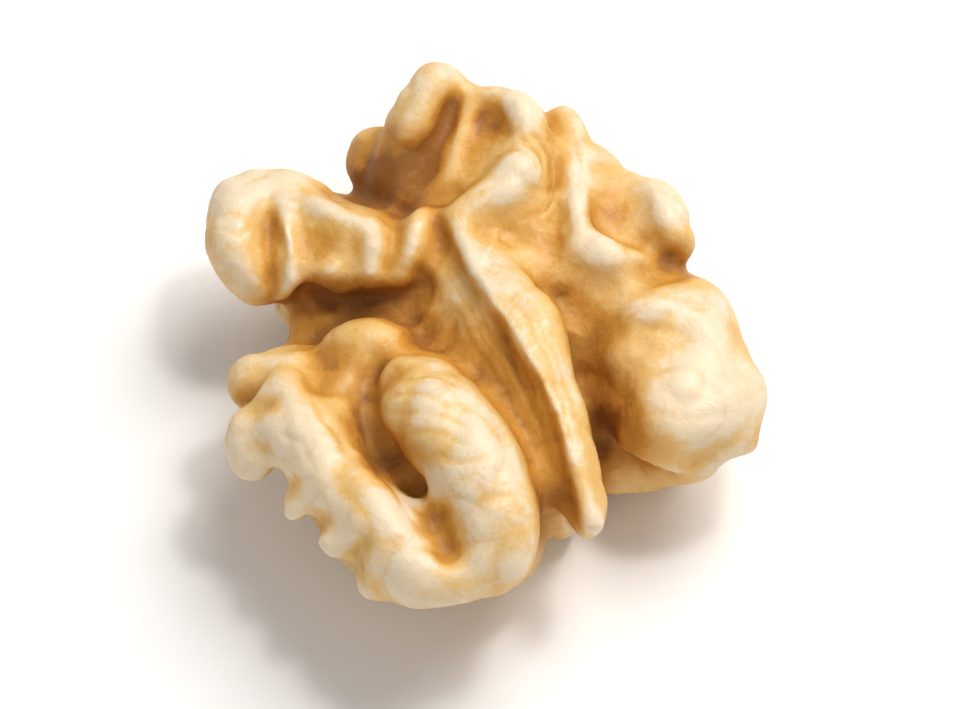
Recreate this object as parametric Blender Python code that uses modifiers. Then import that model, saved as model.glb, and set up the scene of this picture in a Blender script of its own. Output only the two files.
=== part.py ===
"""A shelled walnut kernel half, lying on its rounded back with its inner face up.

The seed is one piece: four lobes folded out of one thick leaf, joined along a bladed keel.
Each fold is a chain of balls along a smooth route, carried by roots down to the rounded back.
They are fused into one skin. Furrows are pressed into its face along drawn routes and some of its
hollows are filled softly, a formula creases its back, and its lowest bumps are flattened to rest on.

Lengths are in millimetres until the finished mesh is scaled to metres.
X runs across the face, Y along it and +Z up, with the origin under the middle of the kernel.
"""

import math

import bmesh
import bpy
import numpy as np
from mathutils import Matrix, Vector, noise

METRES_PER_MM = 0.001

# The face is laid out as it looks from this angle above the table.
SIGHT_ELEVATION = math.radians(63)
FACE_HEIGHT = 10.0

# The rounded back, half a flattened ball.
BACK_CENTRE = Vector((0.2, 0.4, 12.2))
BACK_HALF_AXES = Vector((14.6, 15.6, 12.4))

BALL_SUBDIVISIONS = 3
VOXEL = 0.32
FOLD_SMOOTHING = 4
SKIN_SMOOTHING = 1
TRIANGLES = 11200
FOOT_DEPTH = 0.38
FOOT_SNAP = 0.04

KERNEL_COLOUR = (0.78, 0.56, 0.30, 1.0)
KERNEL_ROUGHNESS = 0.42

# Each fold: points of (across, up, height, radius).
# Across and up are where the fold shows on the face, and height is above the table.
FOLDS = {
    # The upper left lobe: a roll, a lower side bump and a hooked fold round a hollow.
    "top_outer": [
        (-5.4, 8.5, 8.6, 1.25), (-4.7, 9.7, 9.5, 1.6), (-3.8, 11.2, 10.5, 1.8),
        (-3.0, 12.5, 11.1, 1.75), (-2.8, 12.8, 11.1, 1.7),
    ],
    "top_side": [
        (-6.25, 9.9, 7.8, 1.35), (-6.2, 8.9, 7.6, 1.3), (-5.4, 7.5, 7.6, 1.05),
        (-4.9, 6.9, 7.6, 0.9),
    ],
    "top_hook": [
        (-1.8, 12.0, 11.2, 0.8), (-1.1, 12.3, 11.5, 0.9), (-0.2, 12.4, 11.7, 0.95),
        (0.9, 12.1, 12.0, 1.05), (1.8, 11.1, 12.0, 1.2), (2.4, 9.8, 11.9, 1.15),
        (2.7, 8.5, 11.6, 1.1), (2.8, 7.4, 11.2, 1.0),
    ],
    "top_middle": [
        (-1.3, 11.9, 11.2, 0.85), (-1.7, 10.6, 11.0, 0.95), (-2.0, 9.2, 10.7, 0.95),
        (-2.0, 8.1, 10.6, 0.85),
    ],
    "top_inner": [
        (1.5, 8.1, 12.1, 1.5), (0.5, 7.3, 12.0, 1.2), (-0.8, 6.6, 11.9, 1.0),
        (-1.9, 6.0, 11.8, 0.85),
    ],
    "top_floor": [
        (-4.0, 7.2, 8.8, 1.2), (-2.6, 7.2, 9.8, 1.2), (-2.4, 8.4, 9.8, 1.2),
        (-0.6, 9.9, 10.6, 1.2), (0.4, 10.3, 11.0, 1.2), (0.4, 9.3, 11.1, 1.1),
        (-0.8, 8.0, 10.6, 1.1),
    ],
    "top_sill": [
        (0.4, 5.6, 11.0, 1.0), (2.0, 5.6, 10.7, 1.1), (2.9, 4.8, 10.6, 1.0),
        (1.9, 3.9, 10.9, 1.0), (3.0, 2.9, 10.3, 1.0), (4.4, 2.8, 10.1, 1.1),
        (6.0, 2.4, 9.9, 1.1),
    ],
    # The upper right lobe: a pale column, a step to the right and a wing round a dip.
    "crown": [
        (4.0, 11.4, 10.2, 0.85), (4.3, 10.0, 10.8, 1.1), (4.5, 8.2, 11.3, 1.15),
        (4.4, 6.4, 11.6, 1.1), (4.4, 4.8, 11.7, 1.1),
    ],
    "crown_side": [(3.4, 10.6, 9.8, 0.9), (3.7, 8.8, 10.5, 0.95), (3.6, 7.0, 10.8, 0.9)],
    "crown_step": [
        (4.5, 4.7, 11.5, 1.05), (5.7, 4.2, 11.5, 1.15), (6.9, 3.7, 11.3, 1.1),
        (8.0, 3.5, 10.7, 1.0),
    ],
    "crown_slope": [(5.2, 9.3, 10.4, 0.95), (6.6, 8.3, 10.2, 0.85), (7.7, 7.5, 10.4, 1.0)],
    "wing": [
        (8.0, 7.3, 10.6, 1.15), (8.7, 7.0, 11.0, 1.3), (9.4, 6.0, 11.2, 1.25),
        (9.9, 5.1, 10.8, 1.1), (9.8, 4.6, 10.2, 1.1),
    ],
    "crown_floor": [
        (2.7, 5.2, 10.4, 1.0), (3.2, 4.0, 10.2, 1.0), (5.8, 6.9, 9.7, 1.6),
        (7.3, 6.0, 9.9, 1.6), (8.8, 4.9, 9.9, 1.3), (5.6, 8.8, 9.8, 1.1),
    ],
    # The right lobe, the broadest: two big soft pads and a lip below them.
    "right_upper_pad": [(8.4, 0.2, 8.7, 3.05), (9.6, 0.3, 8.7, 2.95), (10.3, 0.1, 8.5, 2.95)],
    "right_lower_pad": [
        (8.2, -1.4, 8.6, 2.7), (10.6, -1.9, 8.5, 3.1), (9.8, -4.1, 8.3, 3.35),
        (11.3, -4.0, 7.9, 3.45),
    ],
    "right_lip": [
        (7.2, -5.4, 8.2, 0.9), (8.6, -6.5, 8.0, 0.95), (10.2, -7.0, 7.8, 0.9),
        (11.8, -6.7, 7.6, 0.9), (13.2, -5.8, 7.6, 0.9),
    ],
    # The upper left wing: a tall ball at the end, a brow over it and upright pleats towards the keel.
    "left_ball": [
        (-13.1, 6.8, 9.0, 1.8), (-13.25, 5.6, 9.5, 1.75), (-13.15, 4.4, 9.5, 1.6),
        (-12.7, 3.4, 9.2, 1.35), (-12.1, 2.8, 8.9, 0.95),
    ],
    "left_brow": [
        (-12.6, 7.0, 8.9, 1.85), (-11.5, 7.3, 9.1, 1.6), (-10.4, 7.3, 9.4, 1.25),
        (-9.6, 7.1, 9.5, 1.0),
    ],
    "left_pleat_a": [
        (-10.9, 5.8, 10.8, 0.7), (-10.8, 4.5, 10.9, 0.8), (-10.6, 3.3, 10.2, 0.95),
        (-10.8, 2.6, 9.4, 0.9),
    ],
    "left_rim": [
        (-11.1, 6.3, 10.5, 0.65), (-10.4, 6.8, 10.5, 0.7), (-9.5, 6.7, 10.6, 0.7),
        (-8.6, 6.3, 10.9, 0.75), (-7.6, 5.9, 11.1, 0.8), (-6.6, 5.5, 11.1, 0.85),
    ],
    "left_lump": [(-8.8, 3.6, 9.7, 1.15), (-7.9, 3.5, 9.9, 1.25), (-7.0, 3.6, 9.7, 1.1)],
    "left_pleat_b": [(-6.3, 5.5, 11.0, 0.9), (-6.1, 4.6, 11.0, 1.0), (-6.1, 3.4, 10.5, 1.0)],
    "left_pleat_c": [
        (-3.4, 6.2, 11.3, 0.7), (-3.9, 5.2, 11.4, 0.85), (-4.4, 4.0, 11.0, 0.85),
        (-4.7, 3.2, 10.4, 0.8),
    ],
    "left_core": [
        (-12.0, 5.0, 7.6, 1.7), (-9.4, 4.7, 9.1, 1.6), (-6.8, 4.6, 9.6, 1.55),
        (-4.4, 4.6, 10.0, 1.4), (-2.4, 4.7, 10.4, 1.2),
    ],
    # The lower left lobe: a knobbly arm down, a turn and a fat arm back up, with a bean above.
    "heel_top": [(-12.4, -1.9, 9.0, 1.05), (-11.0, -1.9, 9.5, 1.15), (-10.2, -2.1, 9.7, 1.15)],
    "heel_arm": [
        (-10.3, -2.7, 9.5, 1.6), (-10.3, -4.7, 10.0, 2.1), (-8.5, -6.8, 10.3, 2.1),
        (-6.7, -8.8, 10.5, 2.05), (-5.1, -10.8, 10.5, 2.05), (-3.6, -12.2, 10.2, 2.05),
        (-1.9, -12.6, 9.9, 1.85),
    ],
    "heel_slope": [
        (-8.2, -4.4, 9.8, 1.5), (-7.3, -6.8, 9.4, 1.1), (-5.9, -9.1, 9.3, 1.0),
        (-4.2, -11.0, 9.2, 1.1),
    ],
    "heel_knob_a": [(-12.6, -2.0, 8.9, 1.0), (-12.6, -2.7, 8.9, 0.95)],
    "heel_knob_b": [(-12.4, -5.3, 9.0, 1.65), (-12.2, -6.3, 8.9, 1.35)],
    "heel_knob_c": [(-9.8, -9.1, 9.3, 1.15)],
    "heel_knob_d": [(-7.9, -10.6, 9.6, 1.25)],
    "heel_knob_e": [(-5.7, -12.4, 9.2, 1.3)],
    "heel_return": [
        (-3.9, -3.1, 11.0, 2.15), (-2.9, -4.3, 11.5, 2.6), (-1.2, -6.4, 11.8, 2.65),
        (0.0, -8.8, 11.5, 2.45), (0.3, -10.9, 10.7, 2.25), (-0.4, -12.0, 10.0, 1.9),
    ],
    "heel_bean": [
        (-8.0, -0.9, 9.6, 1.05), (-7.0, -0.6, 10.1, 1.2), (-5.9, -0.5, 10.4, 1.2),
        (-5.0, -0.7, 10.5, 1.05),
    ],
    "heel_floor": [
        (-5.9, -1.5, 9.6, 0.9), (-7.6, -2.4, 9.8, 1.3), (-6.9, -3.6, 9.5, 1.2), (-5.6, -5.9, 7.8, 0.9),
        (-4.3, -7.6, 7.4, 0.9), (-2.9, -9.8, 7.8, 0.9),
    ],
    # The floor of the deep valley between the two left lobes.
    "valley": [
        (-9.4, 0.4, 5.8, 1.4), (-7.6, 0.6, 6.2, 1.4), (-5.4, 0.8, 6.8, 1.5),
        (-3.0, 1.4, 7.8, 1.5),
    ],
    # The keel, a blade with a thin crest that runs to a blunt tip, and its sloping left flank.
    "keel_crest": [
        (-1.9, 6.0, 12.0, 0.62), (-1.2, 4.3, 12.3, 0.6), (-0.1, 2.2, 12.6, 0.58),
        (1.45, -0.2, 12.8, 0.58), (2.7, -2.4, 12.7, 0.58), (3.7, -4.6, 12.3, 0.58),
        (4.5, -7.0, 11.7, 0.6), (5.1, -9.2, 11.0, 0.7), (5.35, -9.8, 10.8, 0.78),
    ],
    "keel_body": [
        (-0.7, 4.4, 11.2, 1.05), (0.8, 2.3, 11.6, 1.35), (2.4, 0.1, 11.7, 1.6),
        (3.2, -2.4, 11.6, 1.4), (4.0, -4.6, 11.2, 1.2), (4.8, -7.0, 10.7, 1.0),
        (5.3, -8.8, 10.3, 0.9),
    ],
    "keel_shoulder": [
        (0.3, 2.6, 12.0, 0.85), (1.7, 0.3, 12.2, 0.95), (2.8, -1.8, 12.1, 0.95),
        (3.7, -4.0, 11.8, 0.8), (4.4, -6.3, 11.3, 0.7),
    ],
    "keel_flank": [
        (-2.2, 3.2, 9.8, 1.3), (-0.9, 1.2, 10.1, 1.4), (0.5, -1.0, 10.3, 1.4),
        (1.8, -3.2, 10.2, 1.35), (2.8, -5.6, 9.9, 1.3), (3.7, -7.8, 9.6, 1.2),
        (4.2, -9.1, 9.3, 1.0),
    ],
    "keel_foot": [
        (-2.6, 1.0, 8.9, 1.3), (-1.0, -1.2, 9.0, 1.3), (0.8, -3.6, 9.0, 1.2),
        (2.0, -6.0, 8.8, 1.2), (3.0, -8.2, 8.5, 1.0),
    ],
    "keel_valley": [
        (4.4, 2.2, 9.2, 1.3), (5.0, 0.7, 8.9, 1.3), (5.4, -1.0, 8.2, 1.2),
        (5.7, -3.0, 7.2, 1.1), (6.0, -5.0, 6.2, 1.0),
    ],
}
KEEL = "keel_crest"

# Furrows pressed into the face: depth, width, then points of (across, up).
FURROWS = [
    (1.00, 0.38, [(-11.5, 7.4), (-11.6, 5.8), (-11.6, 4.4), (-11.4, 2.6), (-11.1, 0.2)]),
    (0.60, 0.60, [(-9.7, 5.8), (-9.4, 4.8), (-8.8, 3.6)]),
    (0.30, 0.40, [(-7.4, 5.4), (-7.1, 4.2), (-6.9, 3.0)]),
    (0.55, 0.40, [(-4.3, 6.8), (-4.9, 5.4), (-5.2, 4.2), (-5.6, 2.6)]),
    (0.50, 0.40, [(-2.9, 6.8), (-2.7, 5.4), (-2.4, 3.8)]),
    (0.85, 0.50, [(-1.2, 13.6), (-1.8, 12.4), (-2.5, 10.8), (-3.1, 9.4), (-4.4, 7.9)]),
    (0.50, 0.45, [(-5.0, 12.0), (-5.8, 10.2), (-6.0, 8.8), (-5.8, 7.4)]),
    (0.60, 0.60, [(-0.9, 11.5), (0.0, 11.1), (0.6, 10.2)]),
    (0.45, 0.45, [(-0.8, 10.6), (-0.8, 9.4), (-1.0, 7.8)]),
    (0.35, 0.25, [(0.8, 10.6), (2.2, 10.2), (3.2, 9.0), (3.4, 7.6), (3.0, 6.4), (1.8, 5.8)]),
    (0.50, 0.35, [(2.9, 12.2), (3.4, 10.6), (3.6, 8.8), (3.6, 7.0)]),
    (0.45, 0.35, [(3.6, 7.2), (3.6, 5.6), (3.6, 3.8)]),
    (0.60, 0.80, [(5.4, 7.6), (6.6, 6.8), (7.6, 5.8)]),
    (0.50, 0.45, [(7.0, 2.9), (9.0, 3.3), (11.2, 3.4)]),
    (0.25, 0.55, [(6.8, -0.4), (9.1, -0.7), (10.6, -0.5), (13.0, -1.2)]),
    (0.20, 0.45, [(7.4, -5.4), (8.3, -6.2), (9.6, -6.7), (11.3, -6.6), (13.2, -5.7)]),
    (1.30, 0.50, [(-7.2, -4.0), (-6.1, -5.6), (-5.0, -6.9), (-3.7, -8.4), (-2.7, -9.9), (-1.7, -12.4)]),
    (0.60, 0.45, [(-4.0, -1.3), (-5.3, -1.9), (-6.2, -3.0), (-6.4, -4.4)]),
    (0.60, 0.50, [(-9.4, -0.2), (-8.9, -1.8), (-8.3, -3.4)]),
    (0.60, 0.45, [(-13.8, -3.7), (-12.2, -3.8), (-10.8, -3.4)]),
    (0.50, 0.40, [(-11.3, -8.8), (-9.6, -7.4)]),
    (0.45, 0.35, [(-9.4, -10.6), (-8.2, -9.2)]),
    (0.45, 0.35, [(-7.4, -12.0), (-6.2, -10.4)]),
    (0.25, 0.28, [(-1.6, 3.8), (-0.5, 1.8), (1.0, -0.6), (2.3, -2.8), (3.3, -5.0), (4.2, -7.6)]),
]

# Hollows of the face that are filled softly: (across, up) of the middle, the reach and how much.
SOFT_HOLLOWS = [
    ((-3.0, 9.6), 1.8, 0.30),
    ((-4.0, 8.0), 1.4, 0.30),
    ((-0.1, 10.9), 1.8, 0.35),
    ((-1.0, 9.0), 1.4, 0.25),
    ((-9.2, 4.7), 2.2, 0.35),
    ((6.6, 6.6), 2.6, 0.30),
    ((-5.9, -1.5), 2.0, 0.60),
    ((-8.5, -1.6), 1.8, 0.50),
    ((-5.8, -5.6), 2.2, 0.45),
    ((-4.4, -7.6), 2.4, 0.50),
    ((-2.9, -9.8), 2.2, 0.45),
    ((-0.9, 0.3), 1.6, 0.80),
    ((0.6, -2.0), 1.6, 0.80),
    ((1.8, -4.4), 1.6, 0.80),
    ((2.8, -6.8), 1.6, 0.80),
]
FILL_PASSES = 48
# A fill is full up to a third of its reach, then fades out.
FILL_EDGE = 1.5

# The deep parts under the folds: true (x, y, z) and half axes of flattened balls.
BODIES = [
    ((-5.0, 4.6, 3.8), (6.4, 4.0, 2.6)),
    ((-4.0, -5.0, 3.8), (5.6, 6.6, 2.8)),
    ((1.2, 0.5, 4.6), (5.4, 8.5, 3.8)),
    ((1.5, 8.5, 4.4), (6.0, 5.0, 3.2)),
    ((7.0, 0.5, 4.2), (5.0, 6.6, 3.2)),
]

ROUTE_STEP = 0.4
ROOT_STEP = 0.8
ROOT_SPREAD = 1.012
# How far roots gather towards the middle, and their share of the slope of sight, by lobe.
ROOT_WAY = (0.035, 1.0)
ROOT_WAYS = {
    "top": (0.13, 1.0),
    "left_b": (0.035, 0.5),
    "right": (0.035, 1.3),
    "heel": (0.035, 1.1),
}
ROOT_END = 1.6

# A drawn furrow's profile: a line with broad soft shoulders and tapered ends.
FURROW_FACING = 0.8
FURROW_TAPER = 0.3
SHOULDER_SPREAD = 2.4
SHOULDER_SHARE = 0.4

# The creases: soft pillows on the face and deep winding furrows on the back.
FACE_PILLOW = 3.4
FACE_RELIEF = 0.35
BACK_PILLOW = 6.4
BACK_RELIEF = 2.6
PILLOW_RISE = 0.7
CREASE_WIDTH = 0.2
WARP_SIZE = 7.0
WARP_REACH = 2.2
WARP_SHIFTS = [Vector((31.7, 11.3, 5.9)), Vector((-12.4, 27.1, 43.5)), Vector((8.3, -36.2, 19.8))]
# The deep furrows start where the skin turns down, and fade out towards the face.
BACK_SLOPE = 0.15
BACK_SLOPE_BLEND = 0.6
BACK_TOP = 10.5
BACK_TOP_BLEND = 2.5
# The skin stays smooth near the keel's crest.
KEEL_CALM = 2.6
KEEL_CALM_START = 0.4


def clear_scene():
    for thing in list(bpy.data.objects):
        bpy.data.objects.remove(thing)


def on_face(across, up, height):
    """The point at this height that shows at (across, up) on the face."""
    rise = (height - FACE_HEIGHT) * math.cos(SIGHT_ELEVATION)
    return Vector((across, (up - rise) / math.sin(SIGHT_ELEVATION), height))


def between(before, start, end, after, share):
    """A Catmull-Rom spline's value between start and end."""
    a = 2 * start
    b = end - before
    c = 2 * before - 5 * start + 4 * end - after
    d = 3 * start - before - 3 * end + after
    return 0.5 * (a + b * share + c * share**2 + d * share**3)


def balls_along(points):
    """(centre, radius) of the balls that make one fold, close enough to read as a smooth roll."""
    knots = [(on_face(x, up, height), radius) for x, up, height, radius in points]
    if len(knots) == 1:
        return knots
    ends = [knots[0], *knots, knots[-1]]
    balls = []
    for before, start, end, after in zip(ends, ends[1:], ends[2:], ends[3:]):
        steps = max(2, math.ceil((end[0] - start[0]).length / ROUTE_STEP))
        for step in range(steps):
            share = step / steps
            centre = between(before[0], start[0], end[0], after[0], share)
            radius = between(before[1], start[1], end[1], after[1], share)
            balls.append((centre, radius))
    balls.append(knots[-1])
    return balls


def tucked_in(centre, radius):
    """The centre moved so that a ball of this radius stays within the rounded back."""
    offset = centre - BACK_CENTRE
    room = BACK_HALF_AXES - Vector((radius, radius, radius))
    reach = Vector((offset.x / room.x, offset.y / room.y, min(offset.z, 0) / room.z)).length
    return BACK_CENTRE + offset / max(reach, 1)


def roots_of(centre, radius, way):
    """The balls that carry one ball down to the rounded back, hidden behind it as the face is seen."""
    balls = []
    while centre.z - radius > ROOT_END:
        radius *= ROOT_SPREAD
        across = (BACK_CENTRE.x - centre.x) * way[0]
        along = ROOT_STEP / math.tan(SIGHT_ELEVATION) * way[1]
        centre = tucked_in(centre + Vector((across, along, -ROOT_STEP)), radius)
        balls.append((centre, radius))
    return balls


def unit_ball(subdivisions):
    shape = bmesh.new()
    bmesh.ops.create_icosphere(shape, subdivisions=subdivisions, radius=1)
    points = np.array([vertex.co for vertex in shape.verts])
    faces = np.array([[vertex.index for vertex in face.verts] for face in shape.faces])
    shape.free()
    return points, faces


def rough_kernel():
    """One mesh of overlapping balls, before they're fused."""
    balls = []
    for name, points in FOLDS.items():
        way = next((way for start, way in ROOT_WAYS.items() if name.startswith(start)), ROOT_WAY)
        for centre, radius in balls_along(points):
            balls.append((centre, (radius, radius, radius)))
            balls += [(root, (size, size, size)) for root, size in roots_of(centre, radius, way)]
    balls += BODIES
    ball_points, ball_faces = unit_ball(BALL_SUBDIVISIONS)
    points = np.concatenate([ball_points * np.array(axes) + np.array(centre) for centre, axes in balls])
    starts = np.arange(len(balls))[:, None, None] * len(ball_points)
    faces = (ball_faces[None] + starts).reshape(-1, 3)
    mesh = bpy.data.meshes.new("kernel")
    mesh.from_pydata(points.tolist(), [], faces.tolist())
    return mesh


def evaluated_copy(thing):
    """The object's mesh with its modifiers applied."""
    graph = bpy.context.evaluated_depsgraph_get()
    return bpy.data.meshes.new_from_object(thing.evaluated_get(graph))


def fuse(thing, smoothing):
    remesh = thing.modifiers.new("Fuse", "REMESH")
    remesh.mode = "VOXEL"
    remesh.voxel_size = VOXEL
    soften = thing.modifiers.new("Soften", "SMOOTH")
    soften.factor = 0.5
    soften.iterations = smoothing
    thing.data = evaluated_copy(thing)
    thing.modifiers.clear()


def pillows(point, size):
    """0 in a crease and near 1 on top of a pillow, with winding creases about this far apart."""
    drift = Vector([noise.noise(point / WARP_SIZE + shift) for shift in WARP_SHIFTS]) * WARP_REACH
    value = noise.noise((point + drift) / size)
    return 1 - math.exp(-abs(value) / CREASE_WIDTH)


def outer_skin(thing):
    """Drops hollows closed inside the mesh, and anything else not joined to its largest part."""
    shape = bmesh.new()
    shape.from_mesh(thing.data)
    left = set(shape.verts)
    parts = []
    while left:
        front = [left.pop()]
        part = list(front)
        while front:
            near = {edge.other_vert(vertex) for vertex in front for edge in vertex.link_edges}
            front = list(near & left)
            left -= near
            part += front
        parts.append(part)
    parts.sort(key=len)
    bmesh.ops.delete(shape, geom=[vertex for part in parts[:-1] for vertex in part])
    shape.to_mesh(thing.data)
    shape.free()


def furrow_profile(across, up, width, route):
    """1 along the middle of a furrow, with soft shoulders and tapered ends."""
    nearest = np.full(len(across), np.inf)
    share = np.zeros(len(across))
    lengths = [math.dist(start, end) for start, end in zip(route, route[1:])]
    done = 0
    for (x0, y0), (x1, y1), length in zip(route, route[1:], lengths):
        along = ((across - x0) * (x1 - x0) + (up - y0) * (y1 - y0)) / length**2
        along = np.clip(along, 0, 1)
        apart = np.hypot(across - x0 - along * (x1 - x0), up - y0 - along * (y1 - y0))
        share = np.where(apart < nearest, (done + along * length) / sum(lengths), share)
        nearest = np.minimum(nearest, apart)
        done += length
    taper = np.clip(np.minimum(share, 1 - share) / FURROW_TAPER, 0, 1)
    line = np.exp(-((nearest / width) ** 2))
    shoulders = np.exp(-((nearest / width / SHOULDER_SPREAD) ** 2))
    return taper * (line + SHOULDER_SHARE * (shoulders - line))


def ups_of(points):
    """How far up the face each point shows."""
    rises = (points[:, 2] - FACE_HEIGHT) * math.cos(SIGHT_ELEVATION)
    return points[:, 1] * math.sin(SIGHT_ELEVATION) + rises


def facing_of(normals):
    """1 where the skin is turned to the line of sight, 0 where it's turned away."""
    sight = np.array([0, -math.cos(SIGHT_ELEVATION), math.sin(SIGHT_ELEVATION)])
    return np.clip(normals @ sight / FURROW_FACING, 0, 1)


def press_furrows(thing):
    """Presses the drawn furrows into the skin that shows on the face."""
    mesh = thing.data
    points = np.array([vertex.co for vertex in mesh.vertices])
    normals = np.array([vertex.normal for vertex in mesh.vertices])
    ups = ups_of(points)
    facing = facing_of(normals)
    for depth, width, route in FURROWS:
        pressed = depth * furrow_profile(points[:, 0], ups, width, route)
        points -= normals * (pressed * facing)[:, None]
    mesh.vertices.foreach_set("co", points.ravel())
    mesh.update()


def neighbour_mean(points, edges):
    """For each point, the middle of the points that it shares an edge with."""
    starts = np.concatenate([edges[:, 0], edges[:, 1]])
    ends = np.concatenate([edges[:, 1], edges[:, 0]])
    counts = np.bincount(starts, minlength=len(points))
    sums = [np.bincount(starts, points[ends, axis], minlength=len(points)) for axis in range(3)]
    return np.stack(sums, axis=1) / counts[:, None]


def fill_hollows(thing):
    """Lifts the floors of the hollows that are to be soft, and leaves the folds round them."""
    mesh = thing.data
    points = np.array([vertex.co for vertex in mesh.vertices])
    normals = np.array([vertex.normal for vertex in mesh.vertices])
    edges = np.array([edge.vertices for edge in mesh.edges])
    ups = ups_of(points)
    shares = np.zeros(len(points))
    for (across, up), reach, share in SOFT_HOLLOWS:
        apart = np.hypot(points[:, 0] - across, ups - up) / reach
        shares = np.maximum(shares, share * np.clip(FILL_EDGE * (1 - apart), 0, 1))
    shares *= facing_of(normals)
    for _ in range(FILL_PASSES):
        lift = np.einsum("ij,ij->i", neighbour_mean(points, edges) - points, normals)
        points += normals * (np.maximum(lift, 0) * shares)[:, None]
    mesh.vertices.foreach_set("co", points.ravel())
    mesh.update()


def crease(thing):
    """Sinks winding creases into the skin, shallow on the face, none on the keel and deep on the back."""
    keel = [centre for centre, radius in balls_along(FOLDS[KEEL])]
    mesh = thing.data
    normals = [vertex.normal.copy() for vertex in mesh.vertices]
    for vertex, normal in zip(mesh.vertices, normals):
        back = limited((BACK_SLOPE - normal.z) / BACK_SLOPE_BLEND)
        back *= limited((BACK_TOP - vertex.co.z) / BACK_TOP_BLEND)
        apart = min((vertex.co - point).length for point in keel)
        face = (1 - back) * limited(apart / KEEL_CALM - KEEL_CALM_START)
        relief = face * FACE_RELIEF * (pillows(vertex.co, FACE_PILLOW) - PILLOW_RISE)
        relief += back * BACK_RELIEF * (pillows(vertex.co, BACK_PILLOW) - PILLOW_RISE)
        vertex.co += normal * relief


def limited(value):
    return min(max(value, 0), 1)


def thin_out(thing, triangles):
    """Fewer triangles, with the most where the skin bends most."""
    count = sum(len(face.vertices) - 2 for face in thing.data.polygons)
    decimate = thing.modifiers.new("Thin", "DECIMATE")
    decimate.ratio = triangles / count
    decimate.use_collapse_triangulate = True
    thing.data = evaluated_copy(thing)
    thing.modifiers.clear()


def seat(thing, depth):
    """Sets the kernel over the origin and flattens all that is within this depth of its lowest point."""
    points = np.array([vertex.co for vertex in thing.data.vertices])
    low = points.min(axis=0)
    high = points.max(axis=0)
    points -= [(low[0] + high[0]) / 2, (low[1] + high[1]) / 2, low[2]]
    points[:, 2] = np.where(points[:, 2] < depth, 0, points[:, 2] - depth)
    points[:, 2] = np.where(points[:, 2] < FOOT_SNAP, 0, points[:, 2])
    thing.data.vertices.foreach_set("co", points.ravel())
    thing.data.update()


def kernel_skin():
    skin = bpy.data.materials.new("kernel_skin")
    skin.use_nodes = True
    shader = skin.node_tree.nodes["Principled BSDF"]
    shader.inputs["Base Color"].default_value = KERNEL_COLOUR
    shader.inputs["Roughness"].default_value = KERNEL_ROUGHNESS
    return skin


def build():
    clear_scene()
    collection = bpy.data.collections.new("walnut_kernel")
    bpy.context.scene.collection.children.link(collection)
    kernel = bpy.data.objects.new("kernel", rough_kernel())
    collection.objects.link(kernel)
    fuse(kernel, FOLD_SMOOTHING)
    outer_skin(kernel)
    press_furrows(kernel)
    fill_hollows(kernel)
    crease(kernel)
    fuse(kernel, SKIN_SMOOTHING)
    outer_skin(kernel)
    seat(kernel, FOOT_DEPTH)
    thin_out(kernel, TRIANGLES)
    seat(kernel, FOOT_SNAP)
    kernel.data.transform(Matrix.Scale(METRES_PER_MM, 4))
    kernel.data.materials.append(kernel_skin())


build()
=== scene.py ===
import math

import bpy
import numpy as np
from bpy.props import FloatProperty, FloatVectorProperty, IntProperty, PointerProperty
from mathutils import Matrix, Vector, noise
from mathutils.bvhtree import BVHTree


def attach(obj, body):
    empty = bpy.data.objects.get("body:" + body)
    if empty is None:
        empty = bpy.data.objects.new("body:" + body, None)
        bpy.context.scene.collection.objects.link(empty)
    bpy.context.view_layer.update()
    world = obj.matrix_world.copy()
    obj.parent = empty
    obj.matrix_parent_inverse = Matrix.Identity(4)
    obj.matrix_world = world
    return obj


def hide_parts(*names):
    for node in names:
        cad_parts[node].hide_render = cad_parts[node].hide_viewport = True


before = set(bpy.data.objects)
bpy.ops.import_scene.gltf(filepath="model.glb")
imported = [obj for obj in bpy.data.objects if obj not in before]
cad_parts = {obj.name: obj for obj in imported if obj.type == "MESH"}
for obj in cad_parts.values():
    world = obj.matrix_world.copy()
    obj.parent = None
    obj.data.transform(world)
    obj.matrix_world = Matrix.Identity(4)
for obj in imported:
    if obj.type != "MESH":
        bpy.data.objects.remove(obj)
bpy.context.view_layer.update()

bl_info = {
    "name": "Walnut kernel",
    "version": (1, 0, 0),
    "blender": (4, 5, 0),
    "location": "View3D > Sidebar > Walnut",
    "description": "Grows the fine skin of a shelled walnut kernel half and sets it on a pale stage",
    "category": "Add Mesh",
}

MM = 0.001

# The face is laid out as (across, up), seen from this angle, in millimetres from this point.
SIGHT = math.radians(63)
SIGHT_LINE = np.array([0, -math.cos(SIGHT), math.sin(SIGHT)])
FACE_HEIGHT = 10.0
LAYOUT_SHIFT = Vector((-0.251, -0.284, 0.776))

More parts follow.
